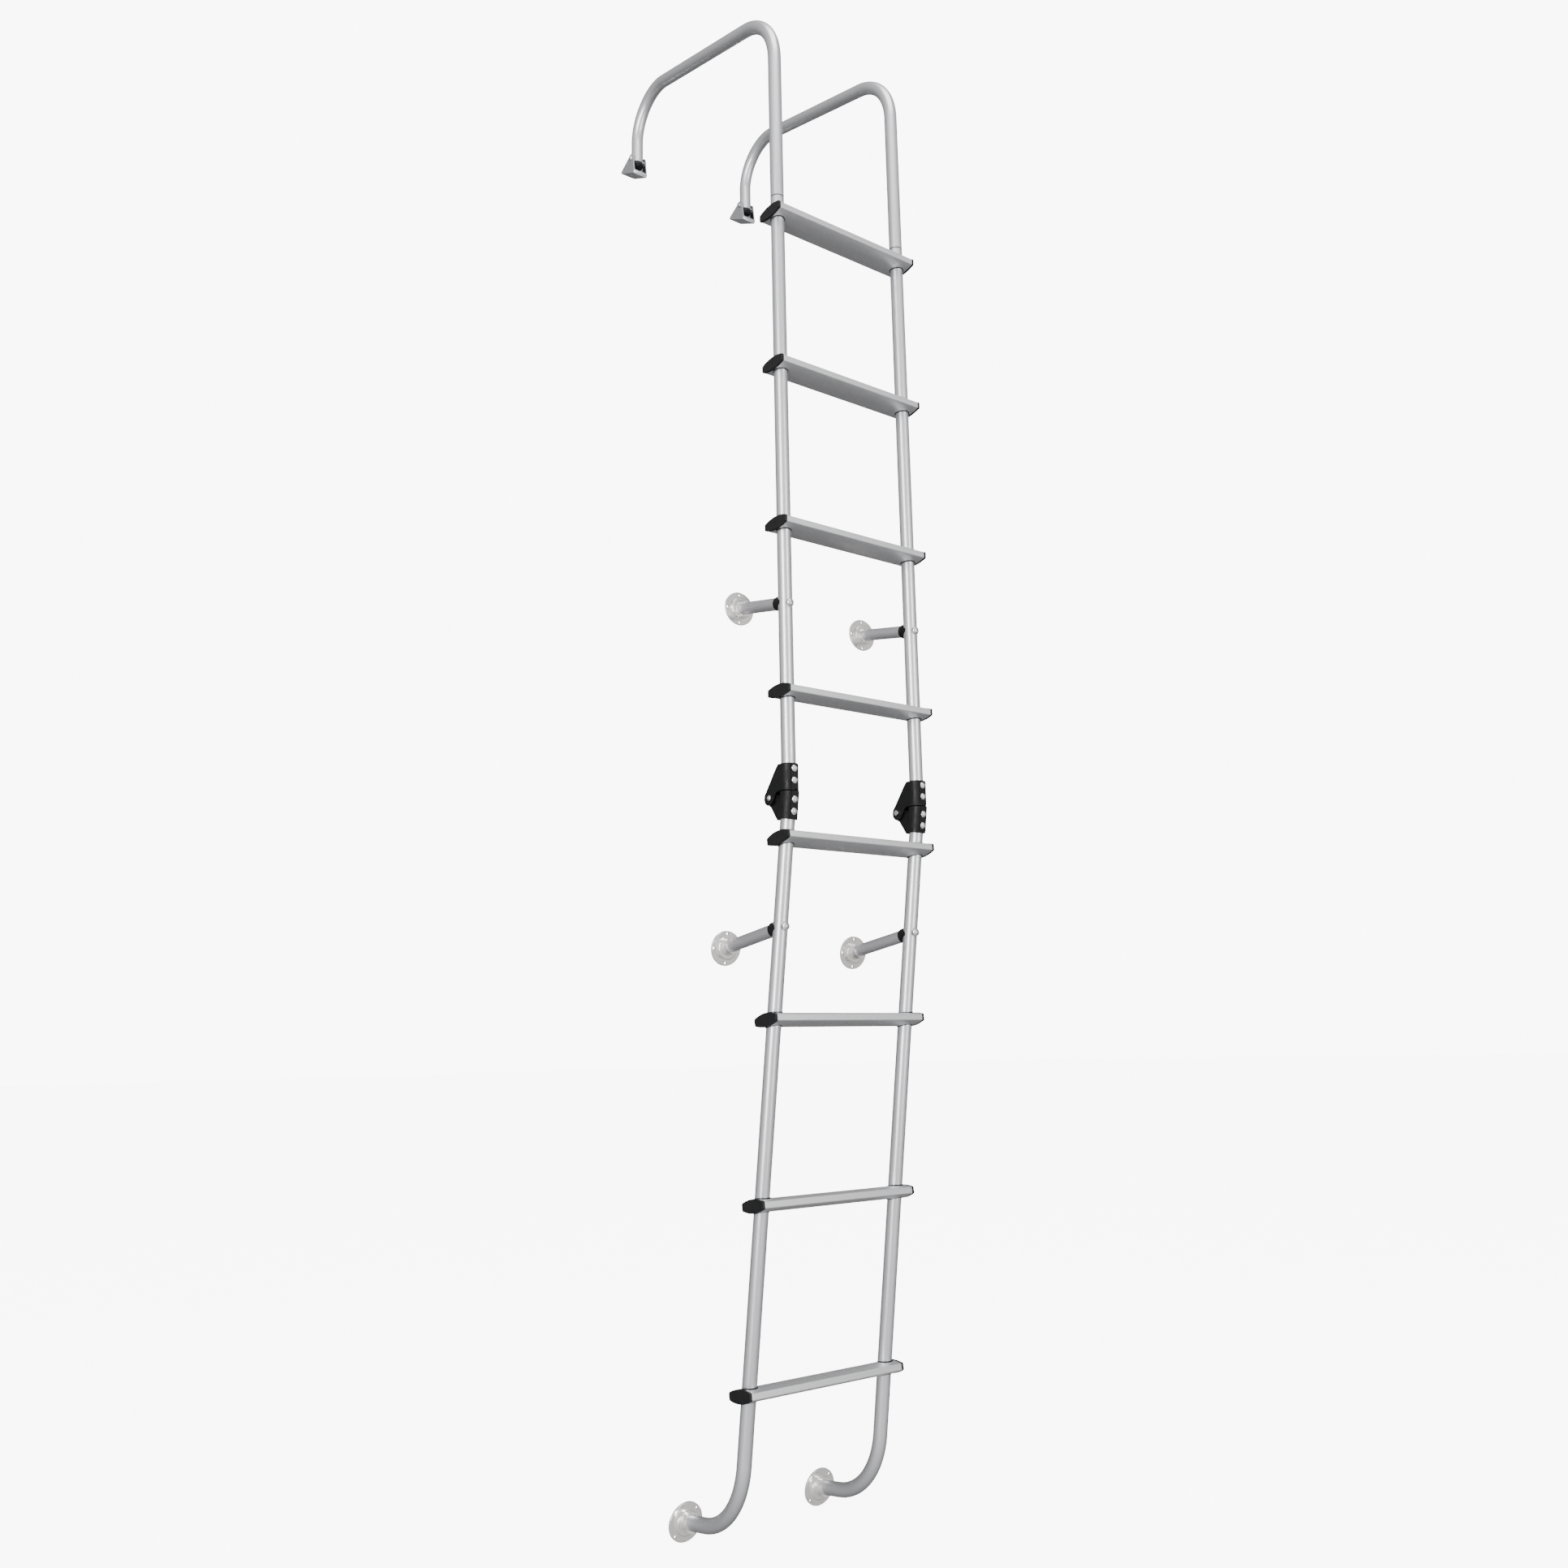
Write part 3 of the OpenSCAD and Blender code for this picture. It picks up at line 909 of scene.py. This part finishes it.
    def cap(self, number: int, half: Half) -> None:
        """Two black plates over the tread's ends, each with a dimple.

        Each plate is rows of the rim at growing height: up the side, round
        the edge by a quarter circle, over the flat face, into the dimple.

        Args:
            number: the tread, counted from the top.
            half: the half that carries it.
        """
        low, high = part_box(f"step_{number}_caps")
        angle = np.linspace(0, 2 * np.pi, 240, endpoint=False)
        t = np.linspace(0, np.pi / 2, 7)
        soft, top = self.cap_round, self.cap_thick
        grow = np.concatenate([[-self.cap_tuck, self.cap_proud],
                               self.cap_proud - soft * (1 - np.cos(t))])
        outer = np.stack([self.rim(g, angle) for g in grow])
        inner = outer[-1] * np.linspace(0.92, 0.2, 6)[:, None]
        hole = self.dimple * np.array([1.35, 1.0, 0.9, 0.35])[:, None]
        reach = np.concatenate([outer, inner, hole + 0 * angle])
        pit = self.dimple_deep * np.array([0.0, 1 / 3, 14 / 15, 1.0])
        height = np.concatenate([[0, 0], top - soft + soft * np.sin(t),
                                 np.full(6, top), top - pit])[:, None]
        uv = np.empty((len(reach), len(angle) + 1, 2))
        uv[..., 0] = np.linspace(0, 1, len(angle) + 1)
        uv[..., 1] = np.linspace(0, 1, len(reach))[:, None]
        parts = []
        for sign, face in ((-1, low.x), (1, high.x)):
            x = face + sign * (height + 0 * angle - top)
            rows = self.placed(x, reach * np.cos(angle) * sign,
                               reach * np.sin(angle), self.centre(number),
                               half)
            parts.append(self.shop.grid(f"cap_{number}_{len(parts)}", rows,
                                        uv, shut=False))
        self.shop.hang(joined(parts), PLASTIC, half.value,
                       f"step_{number}_caps")

    def rings(self, numbers: range, half: Half, node: str) -> None:
        """Thin black rings that close the tread holes round the rails.

        In the tread's frame a ring lies on the crown, and it follows the
        rail, whose axis crosses at y = -z tan(tilt). Its section is a half
        round that stands on two short walls sunk in the tread.

        Args:
            numbers: the treads that the rings are on.
            half: the half that carries them.
            node: the CAD node that they replace.
        """
        tilt = SLOPE if half is Half.LOWER else 0.0
        angle = np.linspace(0, 2 * np.pi, 64, endpoint=False)
        t = np.linspace(0, np.pi, 9)
        gap, wide = self.ring_gap, self.ring_wide
        reach = np.concatenate([[gap], gap + wide / 2 * (1 - np.cos(t)),
                                [gap + wide]])
        rise = np.concatenate([[-self.ring_root], self.ring_tall
                               * np.sin(t) ** 0.6, [-self.ring_root]])
        radius = self.stance.radius + reach[:, None]
        out = radius * np.sin(angle) / math.cos(tilt)
        uv = np.zeros((len(reach) + 1, len(angle) + 1, 2))
        parts = []
        for number in numbers:
            for side in Side:
                x = self.stance.rail_x(side) + radius * np.cos(angle)
                for face in (1, -1):
                    z = face * (self.crown(out) + rise[:, None])
                    rows = self.placed(x, out - z * math.tan(tilt), z,
                                       self.centre(number), half)
                    rows = rows if face < 0 else rows[::-1]
                    parts.append(self.shop.grid(f"ring_{len(parts)}", rows,
                                                uv, shut=True))
        self.shop.hang(joined(parts), PLASTIC, half.value, node)

    def build(self) -> None:
        """Makes all eight treads with their caps, then the hole rings."""
        for half, numbers in ((Half.UPPER, range(1, 5)),
                              (Half.LOWER, range(5, 9))):
            for number in numbers:
                self.board(number, half)
                self.cap(number, half)
        self.rings(range(1, 5), Half.UPPER, "upper_step_bushes")
        self.rings(range(5, 9), Half.LOWER, "lower_step_bushes")


@dataclass
class Hardware:
    """Brackets, bases, saddles, feet and fasteners with softened edges."""

    shop: Workshop
    casting_edge: float = 0.9 * MM
    sheet_edge: float = 0.5 * MM
    steel_edge: float = 0.35 * MM
    splice_edge: float = 0.3 * MM
    screw_edge: float = 0.22 * MM
    seam_edge: float = 0.1 * MM

    def build(self) -> None:
        """Refines each node's own shape and dresses it."""
        upper, lower = Half.UPPER.value, Half.LOWER.value
        cast, steel = self.casting_edge, self.steel_edge
        screw = self.screw_edge
        for word, body in (("upper", upper), ("lower", lower)):
            for side in Side:
                name = side.value
                self.refined(f"{word}_{name}_bracket", CASTING, body, cast, 3)
                self.refined(f"{word}_{name}_base", BASE_STEEL, body, steel)
            self.refined(f"{word}_saddles", CASTING, body, cast)
            self.refined(f"{word}_bracket_screws", FASTENER, body, screw)
            self.refined(f"{word}_standoff_bolts", FASTENER, body, screw)
        for side in Side:
            name = side.value
            foot = f"{name}_roof_foot"
            self.refined(f"bottom_{name}_base", BASE_STEEL, lower, steel)
            self.refined(f"{name}_hinge_pin", FASTENER, upper, screw)
            self.refined(f"{name}_foot_bracket", ZINC, foot, self.sheet_edge)
            self.refined(f"{name}_foot_bolt", FASTENER, foot, screw)
            self.refined(f"{name}_foot_nut", FASTENER, foot, screw)
        self.refined("hook_plugs", PLASTIC, upper, steel)
        self.refined("seam_rings", PLASTIC, upper, self.seam_edge)
        self.refined("rail_splices", ARM_SKIN, upper, self.splice_edge)

    def refined(self, node: str, finish: Finish, body: str, bevel: float,
                segments: int = 2) -> None:
        """Copies one node with soft edges and lets the copy stand for it."""
        piece = self.shop.copy_of(node, bevel, segments)
        self.shop.hang(piece, finish, body, node)


@dataclass(frozen=True)
class SoftBox:
    """An upright soft light that faces the ladder's middle."""

    name: str
    spot: Tone
    wide: float
    tall: float
    power: float


@dataclass
class Studio:
    """Camera, pale floor and soft light."""

    stance: Stance
    yaw: float = 36.811
    pitch: float = 11.177
    roll: float = 1.112
    offset: Tone = (-1.4933, -1.8223, -0.4218)
    lens: float = 30.82
    sensor: float = 36.0
    backdrop: float = 9.0
    floor_gap: float = 2 * MM
    floor_reach: float = 60.0
    floor_lit: float = 1.2
    dim_way: Tone = (0.55, 0.80, -0.25)
    lamps: tuple[SoftBox, ...] = (
        SoftBox("key", (-3.3, -1.9, 0.3), 0.7, 4.0, 170.0),
        SoftBox("front", (0.6, -3.8, 0.2), 0.8, 3.5, 75.0),
        SoftBox("top", (-0.5, -1.5, 4.0), 2.5, 2.5, 90.0),
    )

    def camera(self) -> None:
        """Stands the camera by its heading, rise and roll.

        Forward is (sin y cos p, cos y cos p, sin p); right is level and then
        rolled towards down.
        """
        yaw, pitch, roll = (math.radians(a) for a in
                            (self.yaw, self.pitch, self.roll))
        ahead = Vector((math.sin(yaw) * math.cos(pitch),
                        math.cos(yaw) * math.cos(pitch), math.sin(pitch)))
        level = Vector((math.cos(yaw), -math.sin(yaw), 0.0))
        down = ahead.cross(level)
        right = level * math.cos(roll) + down * math.sin(roll)
        up = level * math.sin(roll) - down * math.cos(roll)
        data = bpy.data.cameras.new("camera")
        data.sensor_width, data.lens = self.sensor, self.lens
        made = bpy.data.objects.new("camera", data)
        bpy.context.scene.collection.objects.link(made)
        middle = Vector((sum(self.stance.rail_x(s) for s in Side) / 2,
                         self.stance.pivot.y, self.stance.pivot.z))
        turn = Matrix((right, up, -ahead)).transposed().to_4x4()
        made.matrix_world = Matrix.Translation(
            middle + Vector(self.offset)) @ turn
        bpy.context.scene.camera = made

    def world(self) -> None:
        """White surroundings that fall off in reflections behind the wall.

        The camera sees the plain backdrop. Light falls from all round, and
        less of it from the directions nearest to dim_way.
        """
        world = bpy.data.worlds.new("studio")
        world.use_nodes = True
        bpy.context.scene.world = world
        graph = Graph(world.node_tree)
        back, out = graph.own("BACKGROUND"), graph.own("OUTPUT_WORLD")
        way = graph.node("TexCoord", output="Generated")
        facing = graph.node("VectorMath", {"operation": "DOT_PRODUCT"},
                            "Value", Vector=way, Vector_001=self.dim_way)
        fall = graph.node("MapRange", Value=facing, From_Min=-0.8,
                          From_Max=0.65, To_Min=1.15, To_Max=0.22)
        graph.feed(back, "Color", WHITE)
        graph.feed(back, "Strength", fall)
        plain = graph.node("Background", Color=WHITE, Strength=self.backdrop)
        seen = graph.node("LightPath", output="Is Camera Ray")
        both = graph.node("MixShader", Fac=seen, Shader_001=plain,
                          Shader=Wire(graph.tree, back.outputs[0]))
        graph.feed(out, "Surface", both)

    def floor(self) -> None:
        """A wide pale floor just under the lowest base."""
        low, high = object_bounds()
        z, reach = low.z - self.floor_gap, self.floor_reach
        mid = (low + high) / 2
        mesh = bpy.data.meshes.new("floor")
        mesh.from_pydata([(mid.x + a * reach, mid.y + b * reach, z)
                          for a, b in ((-1, -1), (1, -1), (1, 1), (-1, 1))],
                         [], [(0, 1, 2, 3)])
        made = bpy.data.objects.new("floor", mesh)
        bpy.context.scene.collection.objects.link(made)
        paint = Paint("pale_floor")
        cloud = paint.noise(paint.place("Object", (3.0,) * 3))
        mesh.materials.append(paint.dress(
            Base_Color=paint.mix(cloud, (0.93,) * 3, (0.95,) * 3),
            Roughness=0.9, Specular_IOR_Level=0.1, Emission_Color=WHITE,
            Emission_Strength=self.backdrop - self.floor_lit))
        made.visible_diffuse = made.visible_glossy = False
        made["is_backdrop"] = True

    def lamp(self, box: SoftBox) -> None:
        """Hangs one soft light and turns it to the ladder's middle.

        Args:
            box: the light.
        """
        low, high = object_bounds()
        data = bpy.data.lights.new(box.name, "AREA")
        data.shape, data.energy = "RECTANGLE", box.power
        data.size, data.size_y = box.wide, box.tall
        made = bpy.data.objects.new(box.name, data)
        made.location = (low + high) / 2 + Vector(box.spot)
        made.rotation_mode = "QUATERNION"
        made.rotation_quaternion = Vector(box.spot).to_track_quat("Z", "Y")
        bpy.context.scene.collection.objects.link(made)

    def build(self) -> None:
        """Sets up the whole studio."""
        self.camera()
        self.world()
        self.floor()
        for box in self.lamps:
            self.lamp(box)


def main() -> None:
    """Builds the studio and the ladder, in order, and logs the count."""
    logging.basicConfig(level=logging.INFO, format="%(name)s: %(message)s")
    stance, shop = Stance(), Workshop()
    Studio(stance).build()
    Tubes(stance, shop).build()
    Treads(stance, shop).build()
    Hardware(shop).build()
    LOG.info("%d pieces hung", shop.count)


if __name__ == "__main__":
    main()
